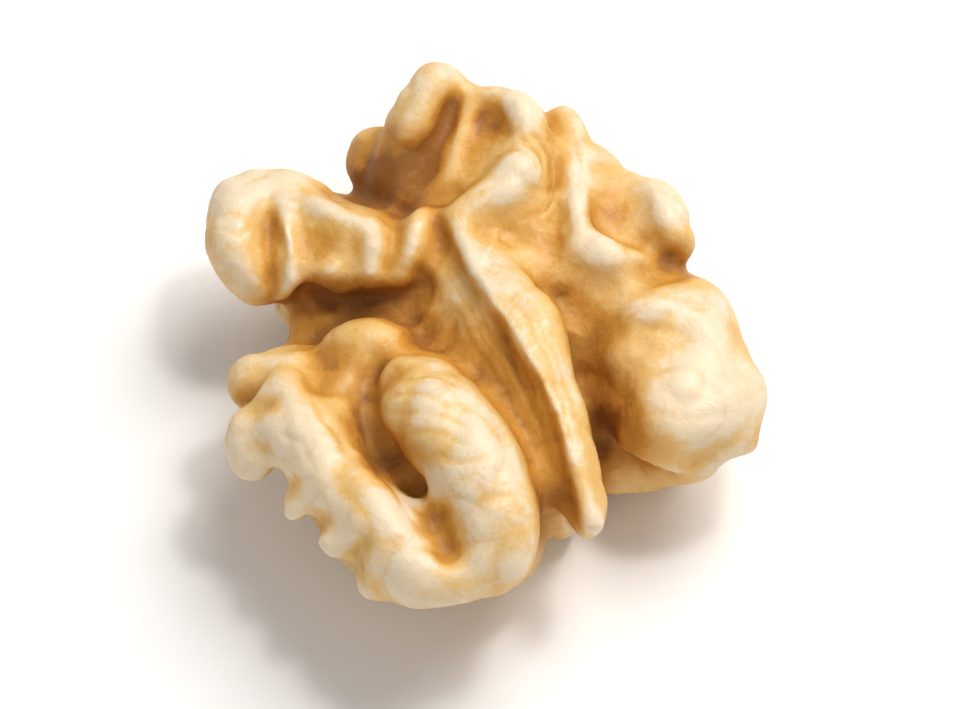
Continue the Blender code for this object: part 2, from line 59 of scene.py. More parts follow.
# Furrows pressed into the face, as in the plain solid: depth, width, then points of (across, up).
FURROWS = [
    (1.00, 0.38, [(-11.5, 7.4), (-11.6, 5.8), (-11.6, 4.4), (-11.4, 2.6), (-11.1, 0.2)]),
    (0.60, 0.60, [(-9.7, 5.8), (-9.4, 4.8), (-8.8, 3.6)]),
    (0.30, 0.40, [(-7.4, 5.4), (-7.1, 4.2), (-6.9, 3.0)]),
    (0.55, 0.40, [(-4.3, 6.8), (-4.9, 5.4), (-5.2, 4.2), (-5.6, 2.6)]),
    (0.50, 0.40, [(-2.9, 6.8), (-2.7, 5.4), (-2.4, 3.8)]),
    (0.85, 0.50, [(-1.2, 13.6), (-1.8, 12.4), (-2.5, 10.8), (-3.1, 9.4), (-4.4, 7.9)]),
    (0.50, 0.45, [(-5.0, 12.0), (-5.8, 10.2), (-6.0, 8.8), (-5.8, 7.4)]),
    (0.60, 0.60, [(-0.9, 11.5), (0.0, 11.1), (0.6, 10.2)]),
    (0.45, 0.45, [(-0.8, 10.6), (-0.8, 9.4), (-1.0, 7.8)]),
    (0.35, 0.25, [(0.8, 10.6), (2.2, 10.2), (3.2, 9.0), (3.4, 7.6), (3.0, 6.4), (1.8, 5.8)]),
    (0.50, 0.35, [(2.9, 12.2), (3.4, 10.6), (3.6, 8.8), (3.6, 7.0)]),
    (0.45, 0.35, [(3.6, 7.2), (3.6, 5.6), (3.6, 3.8)]),
    (0.60, 0.80, [(5.4, 7.6), (6.6, 6.8), (7.6, 5.8)]),
    (0.50, 0.45, [(7.0, 2.9), (9.0, 3.3), (11.2, 3.4)]),
    (0.25, 0.55, [(6.8, -0.4), (9.1, -0.7), (10.6, -0.5), (13.0, -1.2)]),
    (0.20, 0.45, [(7.4, -5.4), (8.3, -6.2), (9.6, -6.7), (11.3, -6.6), (13.2, -5.7)]),
    (1.30, 0.50, [(-7.2, -4.0), (-6.1, -5.6), (-5.0, -6.9), (-3.7, -8.4), (-2.7, -9.9), (-1.7, -12.4)]),
    (0.60, 0.45, [(-4.0, -1.3), (-5.3, -1.9), (-6.2, -3.0), (-6.4, -4.4)]),
    (0.60, 0.50, [(-9.4, -0.2), (-8.9, -1.8), (-8.3, -3.4)]),
    (0.60, 0.45, [(-13.8, -3.7), (-12.2, -3.8), (-10.8, -3.4)]),
    (0.50, 0.40, [(-11.3, -8.8), (-9.6, -7.4)]),
    (0.45, 0.35, [(-9.4, -10.6), (-8.2, -9.2)]),
    (0.45, 0.35, [(-7.4, -12.0), (-6.2, -10.4)]),
    (0.35, 0.28, [(-1.6, 3.8), (-0.5, 1.8), (1.0, -0.6), (2.3, -2.8), (3.3, -5.0), (4.2, -7.6)]),
]

# Fine lines that only the skin has: rims in the upper lobe, wrinkles on the lower lobe's head,
# streaks on the right pad and fibres along the keel.
FINE_LINES = [
    (0.42, 0.62, [(-4.6, -7.4), (-3.9, -8.4), (-3.0, -9.6), (-2.2, -11.2), (-1.8, -12.6)]),
    (0.26, 0.42, [(-1.3, 13.4), (-2.1, 11.6), (-2.9, 10.0), (-3.8, 8.6), (-5.0, 7.4)]),
    (0.20, 0.80, [(-0.9, 11.5), (0.1, 11.0), (0.9, 9.8)]),
    (0.16, 0.14, [(1.8, 10.8), (2.7, 10.3), (3.3, 9.3), (3.5, 7.8), (3.1, 6.8)]),
    (0.12, 0.12, [(1.2, 10.2), (2.2, 9.9), (2.8, 9.3), (3.0, 8.4)]),
    (0.10, 0.12, [(0.6, 9.4), (1.6, 9.5), (2.4, 9.0), (2.6, 8.0)]),
    (0.09, 0.14, [(-5.4, -2.6), (-3.4, -2.1), (-1.0, -3.0)]),
    (0.10, 0.14, [(-5.9, -3.5), (-3.8, -3.2), (-1.0, -4.0)]),
    (0.08, 0.14, [(-5.8, -4.3), (-3.4, -4.1), (-0.6, -5.0)]),
    (0.07, 0.14, [(-5.0, -5.2), (-3.0, -5.1), (-0.6, -6.0)]),
    (0.10, 0.20, [(-3.2, -6.2), (-1.4, -6.6), (0.8, -6.4)]),
    (0.08, 0.22, [(-2.4, -8.4), (-0.6, -8.8), (1.6, -8.2)]),
    (0.09, 0.30, [(6.9, 0.6), (9.2, 0.2), (11.4, -0.3)]),
    (0.07, 0.28, [(7.4, -2.0), (9.6, -2.2), (12.6, -3.4)]),
    (0.07, 0.26, [(7.6, -3.8), (9.8, -4.6), (12.8, -4.2)]),
    (0.06, 0.24, [(8.4, 2.0), (10.4, 1.6), (12.0, 0.8)]),
    (0.09, 0.12, [(0.7, 2.6), (2.1, 0.4), (3.3, -2.2), (4.1, -5.0), (4.9, -8.0)]),
    (0.06, 0.10, [(1.6, 2.2), (2.9, 0.0), (3.9, -2.6), (4.7, -5.4)]),
    (0.08, 0.16, [(-1.6, 2.6), (-0.1, 0.2), (1.4, -2.4), (2.6, -5.2), (3.8, -8.4)]),
    (0.05, 0.14, [(-2.4, 2.2), (-1.0, -0.2), (0.6, -2.8), (2.0, -5.6), (3.2, -8.2)]),
    (0.06, 0.12, [(-2.6, 3.6), (-1.2, 1.4), (0.2, -0.8), (1.5, -3.2)]),
    (0.12, 0.18, [(-9.2, -3.0), (-8.6, -4.6), (-7.2, -6.6)]),
    (0.10, 0.18, [(-11.4, -5.2), (-10.0, -5.8), (-9.0, -7.2)]),
    (0.09, 0.16, [(-13.4, 7.4), (-12.6, 8.2), (-11.4, 8.4)]),
    (0.09, 0.16, [(-14.2, 5.6), (-13.2, 5.2), (-12.4, 5.8)]),
    (0.10, 0.16, [(4.4, 10.6), (4.8, 8.4), (4.8, 6.2)]),
    (0.09, 0.20, [(8.6, 8.0), (9.6, 6.8), (10.4, 5.2)]),
]

# Raised lines: the thin edge of the keel, its fibres and flakes of loose skin.
RAISED_LINES = [
    (0.12, 0.13, [(-1.3, 4.2), (-0.1, 2.2), (1.45, -0.2), (2.7, -2.4), (3.7, -4.6), (4.5, -7.0)]),
    (0.07, 0.12, [(-1.0, 1.2), (0.6, -1.4), (2.0, -4.0), (3.2, -6.8)]),
    (0.06, 0.12, [(0.8, 0.2), (2.0, -2.2), (3.0, -4.8)]),
    (0.16, 0.10, [(2.4, 5.9), (3.0, 6.3), (3.4, 6.9)]),
    (0.14, 0.09, [(3.5, 0.2), (4.1, 0.1), (4.8, -0.4)]),
    (0.10, 0.11, [(-0.4, 3.6), (0.2, 4.6), (0.4, 5.6)]),
    (0.08, 0.14, [(-12.2, 6.6), (-11.0, 6.9), (-9.9, 6.6)]),
]

# Painted shade and stains: where the skin is made browner (+) or paler (-) than its form makes it, partly
# for the shade that falls in the hollows and on the lower, left sides of the lobes, and partly for
# browner skin: middle, reach, change of tone.
SHADE_AND_STAINS = [
    ((-5.9, 8.6), 2.8, 0.62), ((-3.6, 7.8), 2.6, 0.46), ((-0.1, 11.0), 1.5, 0.34),
    ((1.8, 8.1), 1.3, -0.20), ((2.6, 4.8), 1.7, 0.38), ((4.5, 7.5), 1.8, -0.16),
    ((6.6, 6.8), 2.0, 0.24), ((9.6, 4.4), 1.8, 0.16), ((6.9, -1.0), 1.9, 0.22),
    ((7.6, -4.5), 1.9, 0.18), ((9.9, -1.2), 3.2, -0.12), ((9.8, -7.4), 1.8, 0.12),
    ((5.5, 0.5), 2.2, 0.26), ((0.2, -0.2), 2.4, 0.20), ((2.2, -4.0), 2.2, 0.18),
    ((3.6, -7.6), 1.8, 0.12), ((-6.2, 0.8), 3.8, 0.28), ((-9.0, 5.0), 1.8, 0.22),
    ((-13.2, 6.6), 2.8, -0.10), ((-13.9, -3.6), 2.0, 0.40), ((-14.6, 5.4), 1.2, 0.20),
    ((-10.7, -4.2), 2.4, -0.14),
    ((-2.5, -6.0), 2.0, 0.20), ((-8.1, -1.1), 1.2, 0.22), ((-4.0, -3.4), 1.6, 0.10),
    ((-3.9, -8.4), 1.7, -0.80), ((-5.4, -5.9), 1.6, -0.22), ((-5.6, 7.2), 1.4, -0.15),
    ((-3.0, -9.4), 1.3, 0.32), ((5.6, -2.2), 1.5, -0.25), ((5.9, -5.2), 1.5, 0.28),
]
SHADE_STAIN_FALL = 1.6
SHADE_STAIN_DRIFT = (2.4, 0.9, (2.2, 6.1, 4.8))
SHADE_STAIN_FACING = (-0.3, 0.4)
# Sides that turn away from the view are browned as well: painted shade at the edges, and thicker skin.
SIDE_SHADE_AND_STAIN = 0.17
SIDE_FACING = (0.75, 0.1)

# Deep hollows of the face whose floors are lifted further: middle, reach and share.
SOFT_HOLLOWS = [
    ((-4.0, -7.8), 2.8, 1.0), ((-5.4, -5.6), 2.2, 0.5), ((-2.9, -9.8), 2.2, 0.6), ((-3.3, 8.6), 2.2, 0.2),
    ((6.6, 6.8), 2.4, 0.5), ((5.3, 0.2), 2.4, 0.3), ((-10.1, -8.0), 1.6, 0.4), ((-7.4, -10.9), 1.6, 0.4),
    ((-11.6, 4.4), 1.4, 0.12), ((-8.6, 4.2), 2.2, 0.45), ((-1.4, -0.6), 2.0, 0.3),
    ((10.7, -3.0), 2.6, 0.35), ((8.8, 0.9), 2.0, 0.2), ((-3.4, -8.5), 2.2, 1.0),
]
FILL_PASSES = 420
FILL_RIM = (1, 0.3)
FILL_FACING = (-0.3, 0.2)

# The winding creases of the back follow the same pattern as the plain solid's.
BACK_PILLOW = 6.4
BACK_CREASE_WIDTH = 0.08
BACK_FACING = (0.15, -0.45)
BACK_HEIGHT = (10.5, 8.0)
FOOT_HEIGHT = (0.1, 1.0)
FACE_PILLOW = 3.4
FACE_CREASE_WIDTH = 0.12
FACE_CREASE_DEPTH = 0.05
WARP_SIZE = 7.0
WARP_REACH = 2.2
WARP_SHIFTS = ((31.7, 11.3, 5.9), (-12.4, 27.1, 43.5), (8.3, -36.2, 19.8))

# The drawn lines: how they fade at their ends and off the face, and how far they stray.
LINE_TAPER = 0.25
LINE_FACING = (0.1, 0.7)
WIDE_FURROW = 0.45
FURROW_NARROWING = 0.75
FURROW_SHADE_WIDTH = 1.5
STRAY_SIZE = 1.6
FURROW_STRAY = 0.25
FINE_STRAY = 0.3
RAISED_STRAY = 0.15

# Noises in the skin. A drift is (size, reach, start) and a noise is (size, start).
SWELL_DRIFT = (3.0, 0.8, (4.1, 7.7, 1.3))
SWELL_NOISE = (2.4, (11.0, 3.0, 5.0))
WRINKLE_DRIFT = (2.2, 0.9, (9.3, 2.2, 6.1))
WRINKLE_NOISE = (1.05, (1.5, 8.5, 2.5))
WRINKLE_WIDTH = 0.09
WRINKLE_PATCHES = (3.6, (7.0, 1.0, 9.0))
WRINKLE_LEAST = 0.35
VEIN_DRIFT = (4.0, 1.6, (3.7, 5.9, 8.3))
THICK_VEINS = (3.1, (6.6, 2.4, 9.9))
THICK_VEIN_WIDTH = 0.045
THIN_VEINS = (1.7, (2.6, 9.4, 3.9))
THIN_VEIN_WIDTH = 0.05
THIN_VEIN_SHARE = 0.6
VEIN_PATCHES = (4.4, (5.1, 6.2, 7.3))

# How the clefts, ridges and swellings of the finished skin are read; the clefts are read as the sky each
# point loses, which browns the skin there as painted shade.
CLEFT_REACH = 7.0
CLEFT_RAYS = 20
CLEFT_START = 0.05
RIDGE_PASSES = 5
RIDGE_HEIGHT = 0.10
SWELLING_PASSES = 40
SWELLING_HEIGHT = 0.8

# What adds to the skin's tone: the value that changes nothing, and the weight of the rest.
# The tone runs from 0 on the palest ridges to 1 in the deepest clefts; the browning by the clefts' loss
# of sky and along the furrows is painted shade, and the stains are partly painted shade.
TONE_PARTS = {
    "cleft_shade": (0, 1.05), "swelling": (0.5, -0.55), "ridge": (0.5, -0.12), "broad": (0.5, 0.95),
    "patchy": (0.5, 0.38), "fine": (0.5, 0.24), "shade_and_stain": (0, 1), "furrow_shade": (0, 0.26),
}
TONE_START = 0.23
SKIN_MARKS = ("cleft_shade", "ridge", "swelling", "vein", "shade_and_stain", "furrow_shade")

# The material's noises: size in millimetres, detail, roughness and distortion.
SKIN_NOISES = {
    "broad": (4.5, 3, 0.55, 0.6), "patchy": (1.5, 4, 0.6, 0.8), "fine": (0.3, 5, 0.65, 0.4),
    "blush": (5.5, 2, 0.5, 0.3), "pucker": (0.75, 3, 0.55, 1.2), "leather": (0.22, 6, 0.7, 0.9),
}
BLUSH_MIDDLE = 0.42
BLUSH_WEIGHT = 1.6
BLUSH_MOST = 0.35
VEIN_TINT = 0.16
PATCHES = (0.25, 0.75)
ROUGHNESS = (0.32, 0.52)
CLEFT_DULLNESS = 0.45
BUMP_STRENGTH = 0.6
PUCKER_HEIGHT = 0.09 * MM
LEATHER_HEIGHT = 0.035 * MM

# The stage: what the lights and the camera aim at, and where the lights hang.
LIT_POINT = (0, 0, 7 * MM)
SEEN_POINT = (0, -0.2 * MM, 7.6 * MM)
KEY_PLACE = (0.13, 0.14, 0.31)
SPARK_PLACE = (0.10, 0.06, 0.32)
SPARK_SIZE = 0.05
FILL_PLACE = (-0.10, -0.36, 0.24)
FILL_SIZE = 0.4
WARM_WHITE = (1.0, 0.97, 0.94)
SPARK_WHITE = (1.0, 0.98, 0.96)


class WalnutSkin(bpy.types.PropertyGroup):
    """Sizes of the kernel's skin."""

    voxel: FloatProperty(
        name="Voxel", description="Size of the skin's facets",
        default=0.19 * MM, unit="LENGTH",
    )
    rounding: IntProperty(
        name="Rounding", description="Passes that round the plain solid",
        default=12, min=0,
    )
    furrow_share: FloatProperty(
        name="Furrow depth", description="Further depth of the drawn furrows",
        default=0.16, subtype="FACTOR",
    )
    crease_depth: FloatProperty(
        name="Crease depth", description="Further depth of the back's creases",
        default=0.4 * MM, unit="LENGTH",
    )
    swell: FloatProperty(
        name="Swell", description="Height of the soft swellings over the skin",
        default=0.11 * MM, unit="LENGTH",
    )
    wrinkle: FloatProperty(
        name="Wrinkle", description="Depth of the fine wrinkles of the skin",
        default=0.03 * MM, unit="LENGTH",
    )
    vein: FloatProperty(
        name="Vein", description="Height of the veins in the skin",
        default=0.02 * MM, unit="LENGTH",
    )


class WalnutColours(bpy.types.PropertyGroup):
    """Colours of the kernel's skin, from its rubbed ridges to its deepest clefts; the browner colours
    also stand for painted shade.
    """

    cream: FloatVectorProperty(
        name="Rubbed cream", description="Skin on the exposed ridges",
        default=(0.79, 0.665, 0.485), subtype="COLOR",
    )
    straw: FloatVectorProperty(
        name="Straw", description="Skin on the slopes",
        default=(0.745, 0.49, 0.19), subtype="COLOR",
    )
    # Amber is reached in the hollows partly through painted shade.
    amber: FloatVectorProperty(
        name="Amber", description="Skin in the hollows",
        default=(0.59, 0.30, 0.055), subtype="COLOR",
    )
    # The darkest brown stands mostly for painted shade in the clefts, with browner skin.
    umber_shade: FloatVectorProperty(
        name="Umber", description="Skin in the clefts",
        default=(0.27, 0.115, 0.03), subtype="COLOR",
    )
    blush: FloatVectorProperty(
        name="Blush", description="Pinker patches of the skin",
        default=(0.80, 0.60, 0.47), subtype="COLOR",
    )
    vein: FloatVectorProperty(
        name="Vein", description="Veins in the skin",
        default=(0.46, 0.24, 0.08), subtype="COLOR",
    )


class WalnutStage(bpy.types.PropertyGroup):
    """The floor, the light and the view."""

    floor: FloatVectorProperty(
        name="Floor", description="Colour of the floor",
        default=(0.93, 0.925, 0.92), subtype="COLOR",
    )
    floor_size: FloatProperty(
        name="Floor size", description="Width of the floor",
        default=1.6, unit="LENGTH",
    )
    softbox: FloatProperty(
        name="Softbox", description="Width of the main light",
        default=0.26, unit="LENGTH",
    )
    key_power: FloatProperty(
        name="Key power", description="Power of the main light",
        default=0.84, unit="POWER",
    )
    spark_power: FloatProperty(
        name="Spark power", description="Power of the small light that gives the glints",
        default=0.18, unit="POWER",
    )
    fill_power: FloatProperty(
        name="Fill power", description="Power of the wide light from the front",
        default=0.24, unit="POWER",
    )
    sky: FloatProperty(
        name="Sky", description="Strength of the white light from all round",
        default=0.36, subtype="FACTOR",
    )
    elevation: FloatProperty(
        name="Elevation", description="The camera's angle above the floor",
        default=SIGHT, subtype="ANGLE",
    )
    field: FloatProperty(
        name="Field", description="Width that the view takes in",
        default=51 * MM, unit="LENGTH",
    )
    distance: FloatProperty(
        name="Distance", description="From the camera to the kernel",
        default=0.4, unit="LENGTH",
    )


def select_only(thing):
    bpy.ops.object.select_all(action="DESELECT")
    thing.select_set(True)
    bpy.context.view_layer.objects.active = thing


def apply_modifier(thing, kind, **values):
    modifier = thing.modifiers.new(kind.title(), kind)
    for key, value in values.items():
        setattr(modifier, key, value)
    select_only(thing)
    bpy.ops.object.modifier_apply(modifier=modifier.name)


def points_of(mesh):
    points = np.empty(len(mesh.vertices) * 3)
    mesh.vertices.foreach_get("co", points)
    return points.reshape(-1, 3)


def normals_of(mesh):
    normals = np.empty(len(mesh.vertices) * 3)
    mesh.vertex_normals.foreach_get("vector", normals)
    return normals.reshape(-1, 3)


def move_points(mesh, points):
    mesh.vertices.foreach_set("co", np.ascontiguousarray(points).ravel())
    mesh.update()


def keep_attribute(mesh, name, values):
    attribute = mesh.attributes.new(name, "FLOAT", "POINT")
    attribute.data.foreach_set("value", np.asarray(values, np.float32))


def soft_step(low, high, values):
    share = np.clip((values - low) / (high - low), 0, 1)
    return share * share * (3 - 2 * share)


def noise_at(points, size, shift):
    """Smooth noise in -1 to 1 at each point."""
    moved = points / size + np.array(shift)
    return np.array([noise.noise(point) for point in moved.tolist()])


def drifted(points, size, reach, shift=(0, 0, 0)):
    """The points, each moved by a smooth random drift."""
    drift = [noise_at(points, size, np.add(shift, way)) for way in WARP_SHIFTS]
    return points + reach * np.stack(drift, axis=1)


def blurred(mesh, values, passes):
    """The values averaged with those of their neighbours, some times over."""
    edges = np.empty(len(mesh.edges) * 2, np.int64)
    mesh.edges.foreach_get("vertices", edges)
    start, end = edges.reshape(-1, 2).T
    count = len(mesh.vertices)
    weight = 1 + np.bincount(start, minlength=count) + np.bincount(end, minlength=count)
    values = np.asarray(values, float).copy()
    flat = values.ndim == 1
    values = values.reshape(count, -1)
    for _ in range(passes):
        total = values.copy()
        for column in range(values.shape[1]):
            total[:, column] += np.bincount(start, values[end, column], minlength=count)
            total[:, column] += np.bincount(end, values[start, column], minlength=count)
        values = total / weight[:, None]
    return values[:, 0] if flat else values


def fill_hollows(mesh):
    """Lifts the floors of the deepest hollows, and leaves the folds round them."""
    points = points_of(mesh)
    normals = normals_of(mesh)
    ups = ups_of(points)
    shares = np.zeros(len(points))
    for (across, up), reach, share in SOFT_HOLLOWS:
        apart = np.hypot(points[:, 0] - across, ups - up) / reach
        shares = np.maximum(shares, share * soft_step(*FILL_RIM, apart))
    shares *= soft_step(*FILL_FACING, normals @ SIGHT_LINE)
    for _ in range(FILL_PASSES):
        lift = (blurred(mesh, points, 1) - points) @ SIGHT_LINE
        points += SIGHT_LINE * (np.maximum(lift, 0) * shares)[:, None]
    move_points(mesh, points)


def line_profile(points, ups, width, route):
    """1 along the middle of a drawn line, fading out towards its ends."""
    nearest = np.full(len(points), np.inf)
    share = np.zeros(len(points))
    lengths = [math.dist(start, end) for start, end in zip(route, route[1:])]
    done = 0
    for (x0, y0), (x1, y1), length in zip(route, route[1:], lengths):
        along = ((points[:, 0] - x0) * (x1 - x0) + (ups - y0) * (y1 - y0)) / length**2
        along = np.clip(along, 0, 1)
        apart = np.hypot(points[:, 0] - x0 - along * (x1 - x0), ups - y0 - along * (y1 - y0))
        share = np.where(apart < nearest, (done + along * length) / sum(lengths), share)
        nearest = np.minimum(nearest, apart)
        done += length
    taper = soft_step(0, LINE_TAPER, np.minimum(share, 1 - share))
    return taper * np.exp(-((nearest / width) ** 2))


def ups_of(points):
    """How far up the face each point shows."""
    return points[:, 1] * math.sin(SIGHT) + (points[:, 2] - FACE_HEIGHT) * math.cos(SIGHT)


def line_depths(points, normals, lines, share, widening, stray):
    """How deep the drawn lines press into the skin that shows on the face."""
    moved = drifted(points, STRAY_SIZE, stray)
    ups = ups_of(moved)
    facing = soft_step(*LINE_FACING, normals @ SIGHT_LINE)
    depths = np.zeros(len(points))
    for depth, width, route in lines:
        depths = np.maximum(depths, share * depth * line_profile(moved, ups, width * widening, route))
    return depths * facing


def crease_lines(points, size, width):
    """1 in the winding creases and 0 on the pillows between them."""
    value = noise_at(drifted(points, WARP_SIZE, WARP_REACH), size, (0, 0, 0))
    return np.exp(-np.abs(value) / width)


def shade_in_clefts(mesh, points, normals):
    """How much of the sky each point loses to the folds around it."""
    tree = BVHTree.FromPolygons(points.tolist(), [tuple(face.vertices) for face in mesh.polygons])
    golden = math.pi * (3 - math.sqrt(5))
    heights = np.sqrt(1 - (np.arange(CLEFT_RAYS) + 0.5) / CLEFT_RAYS)
    turns = golden * np.arange(CLEFT_RAYS)
    sides = np.sqrt(1 - heights**2)
    dome = np.stack([sides * np.cos(turns), sides * np.sin(turns), heights], 1)
    shade = np.zeros(len(points))
    for index, (point, normal) in enumerate(zip(points, normals)):
        turn = Vector((0, 0, 1)).rotation_difference(Vector(normal)).to_matrix()
        start = Vector(point + normal * CLEFT_START)
        hits = 0
        for ray in dome @ np.array(turn).T:
            distance = tree.ray_cast(start, Vector(ray), CLEFT_REACH)[3]
            if distance is not None:
                hits += 1 - distance / CLEFT_REACH
        shade[index] = hits / CLEFT_RAYS
    return shade


def fine_skin(node, skin):
    """A fine, closed copy of the plain solid, with its facets rounded off, in layout millimetres."""
    mesh = node.data.copy()
    mesh.name = "walnut_kernel_skin"
    kernel = bpy.data.objects.new("walnut_kernel_skin", mesh)
    bpy.context.scene.collection.objects.link(kernel)
    mesh.transform(Matrix.Translation(LAYOUT_SHIFT) @ Matrix.Scale(1 / MM, 4))
    select_only(kernel)
    bpy.ops.object.mode_set(mode="EDIT")
    bpy.ops.mesh.select_all(action="SELECT")
    bpy.ops.mesh.remove_doubles(threshold=0.001)
    bpy.ops.object.mode_set(mode="OBJECT")
    apply_modifier(kernel, "REMESH", mode="VOXEL", voxel_size=skin.voxel / MM)
    apply_modifier(kernel, "SMOOTH", factor=0.5, iterations=skin.rounding)
    return kernel


def sculpt(kernel, skin):
    """Sharpens the folds and raises swellings, wrinkles and veins in the skin."""
    mesh = kernel.data
    fill_hollows(mesh)
    points = points_of(mesh)
    normals = normals_of(mesh)
    floor = LAYOUT_SHIFT.z
    back = soft_step(*BACK_FACING, normals[:, 2]) * soft_step(*BACK_HEIGHT, points[:, 2])
    foot = soft_step(floor + FOOT_HEIGHT[0], floor + FOOT_HEIGHT[1], points[:, 2])
    narrow = [line for line in FURROWS if line[1] < WIDE_FURROW]
    share = skin.furrow_share
    height = -line_depths(points, normals, narrow, share, FURROW_NARROWING, FURROW_STRAY)
    height -= line_depths(points, normals, FINE_LINES, 1, 1, FINE_STRAY)
    height += line_depths(points, normals, RAISED_LINES, 1, 1, RAISED_STRAY)
    creases = crease_lines(points, BACK_PILLOW, BACK_CREASE_WIDTH)
    height -= back * foot * skin.crease_depth / MM * creases
    creases = crease_lines(points, FACE_PILLOW, FACE_CREASE_WIDTH)
    height -= (1 - back) * FACE_CREASE_DEPTH * creases
    swells = noise_at(drifted(points, *SWELL_DRIFT), *SWELL_NOISE)
    height += foot * skin.swell / MM * swells
    wrinkles = noise_at(drifted(points, *WRINKLE_DRIFT), *WRINKLE_NOISE)
    wrinkles = np.exp(-np.abs(wrinkles) / WRINKLE_WIDTH)
    patches = soft_step(-0.25, 0.35, noise_at(points, *WRINKLE_PATCHES))
    patches = WRINKLE_LEAST + (1 - WRINKLE_LEAST) * patches
    height -= foot * skin.wrinkle / MM * wrinkles * patches
    veins = vein_lines(points)
    height += foot * skin.vein / MM * veins
    # The skin is browned along the furrows and fine lines: painted shade in the creases.
    shaded = FURROWS + FINE_LINES
    furrows = line_depths(points, normals, shaded, 1, FURROW_SHADE_WIDTH, FINE_STRAY)
    move_points(mesh, points + normals * height[:, None])
    apply_modifier(kernel, "SMOOTH", factor=0.35, iterations=1)
    keep_attribute(mesh, "vein", veins)
    keep_attribute(mesh, "furrow_shade", soft_step(0, 1, furrows))


def vein_lines(points):
    """Thin wandering veins, 1 along their middle."""
    moved = drifted(points, *VEIN_DRIFT)
    thick = np.exp(-((noise_at(moved, *THICK_VEINS) / THICK_VEIN_WIDTH) ** 2))
    thin = np.exp(-((noise_at(moved, *THIN_VEINS) / THIN_VEIN_WIDTH) ** 2))
    patches = soft_step(-0.15, 0.3, noise_at(points, *VEIN_PATCHES))
    return np.maximum(thick, THIN_VEIN_SHARE * thin * patches)


def shade_and_stains_at(points, normals):
    """The change of tone from the stains of the face, which are partly painted shade, and the browning of
    the sides and back that turn from the view, painted shade at the edges with browner skin.
    """
    moved = drifted(points, *SHADE_STAIN_DRIFT)
    ups = ups_of(moved)
    tones = np.zeros(len(points))
    for (across, up), reach, change in SHADE_AND_STAINS:
        apart = np.hypot(moved[:, 0] - across, ups - up) / reach
        tones += change * np.exp(-SHADE_STAIN_FALL * apart**2)
    facing = normals @ SIGHT_LINE
    return tones * soft_step(*SHADE_STAIN_FACING, facing) + SIDE_SHADE_AND_STAIN * soft_step(*SIDE_FACING, facing)


def mark_skin(kernel):
    """Notes on the skin, for its colours: clefts, whose loss of sky is painted in as shade, ridges,
    swellings, and stains that are partly painted shade.
    """
    mesh = kernel.data
    points = points_of(mesh)
    normals = normals_of(mesh)
    ridges = ((points - blurred(mesh, points, RIDGE_PASSES)) * normals).sum(1)
    swellings = ((points - blurred(mesh, points, SWELLING_PASSES)) * normals).sum(1)
    # The clefts' loss of sky browns the skin there: painted shade.
    keep_attribute(mesh, "cleft_shade", blurred(mesh, shade_in_clefts(mesh, points, normals), 2))
    keep_attribute(mesh, "ridge", np.clip(0.5 + ridges / RIDGE_HEIGHT, 0, 1))
    keep_attribute(mesh, "swelling", np.clip(0.5 + swellings / SWELLING_HEIGHT, 0, 1))
    # Painted shade and stains of the face, and the browned sides.
    keep_attribute(mesh, "shade_and_stain", shade_and_stains_at(points, normals))


def add_node(tree, kind, place, **values):
    """A node with its settings."""
    node = tree.nodes.new(kind)
    node.location = place
    for key, value in values.items():
        setattr(node, key, value)
    return node


def attribute_value(tree, name, place):
    return add_node(tree, "ShaderNodeAttribute", place, attribute_name=name).outputs["Fac"]


def math_node(tree, operation, first, second, place):
    node = add_node(tree, "ShaderNodeMath", place, operation=operation)
    for socket, value in zip(node.inputs, (first, second)):
        if isinstance(value, (int, float)):
            socket.default_value = value
        else:
            tree.links.new(value, socket)
    return node.outputs[0]


def scaled(tree, source, middle, factor, place):
    """(source - middle) * factor."""
    node = add_node(tree, "ShaderNodeMath", place, operation="MULTIPLY_ADD")
    node.inputs[1].default_value = factor
    node.inputs[2].default_value = -middle * factor
    tree.links.new(source, node.inputs[0])
    return node.outputs[0]


def mix_colour(tree, share, first, second, place, blend="MIX"):
    node = add_node(tree, "ShaderNodeMix", place, data_type="RGBA", blend_type=blend)
    for socket, value in ((node.inputs[0], share), (node.inputs[6], first), (node.inputs[7], second)):
        if isinstance(value, (int, float)):
            socket.default_value = value
        elif isinstance(value, bpy.types.NodeSocket):
            tree.links.new(value, socket)
        else:
            socket.default_value = (*value, 1)
    return node.outputs[2]


def noise_node(tree, where, size, detail, roughness, distortion, place):
    """Fractal noise whose lumps are about this many millimetres wide."""
    node = add_node(tree, "ShaderNodeTexNoise", place)
    node.inputs["Scale"].default_value = 1 / size
    node.inputs["Detail"].default_value = detail
    node.inputs["Roughness"].default_value = roughness
    node.inputs["Distortion"].default_value = distortion
    tree.links.new(where, node.inputs["Vector"])
    return node.outputs["Fac"]


def bumped(tree, height, distance, normal, place):
    node = add_node(tree, "ShaderNodeBump", place)
    node.inputs["Strength"].default_value = BUMP_STRENGTH
    node.inputs["Distance"].default_value = distance
    tree.links.new(height, node.inputs["Height"])
    if normal:
        tree.links.new(normal, node.inputs["Normal"])
    return node.outputs["Normal"]


def skin_sources(tree):
    """The marks on the skin and the noises that its looks are made from."""
    place = add_node(tree, "ShaderNodeTexCoord", (-2200, 0))
    in_mm = add_node(tree, "ShaderNodeMapping", (-2000, 0))
    in_mm.inputs["Scale"].default_value = (1 / MM, 1 / MM, 1 / MM)
    tree.links.new(place.outputs["Object"], in_mm.inputs["Vector"])
    sources = {}
    for row, name in enumerate(SKIN_MARKS):
        sources[name] = attribute_value(tree, name, (-1800, 1200 - 200 * row))
    for row, (name, settings) in enumerate(SKIN_NOISES.items()):
        place = (-1800, -200 - 300 * row)
        sources[name] = noise_node(tree, in_mm.outputs["Vector"], *settings, place)
    return sources


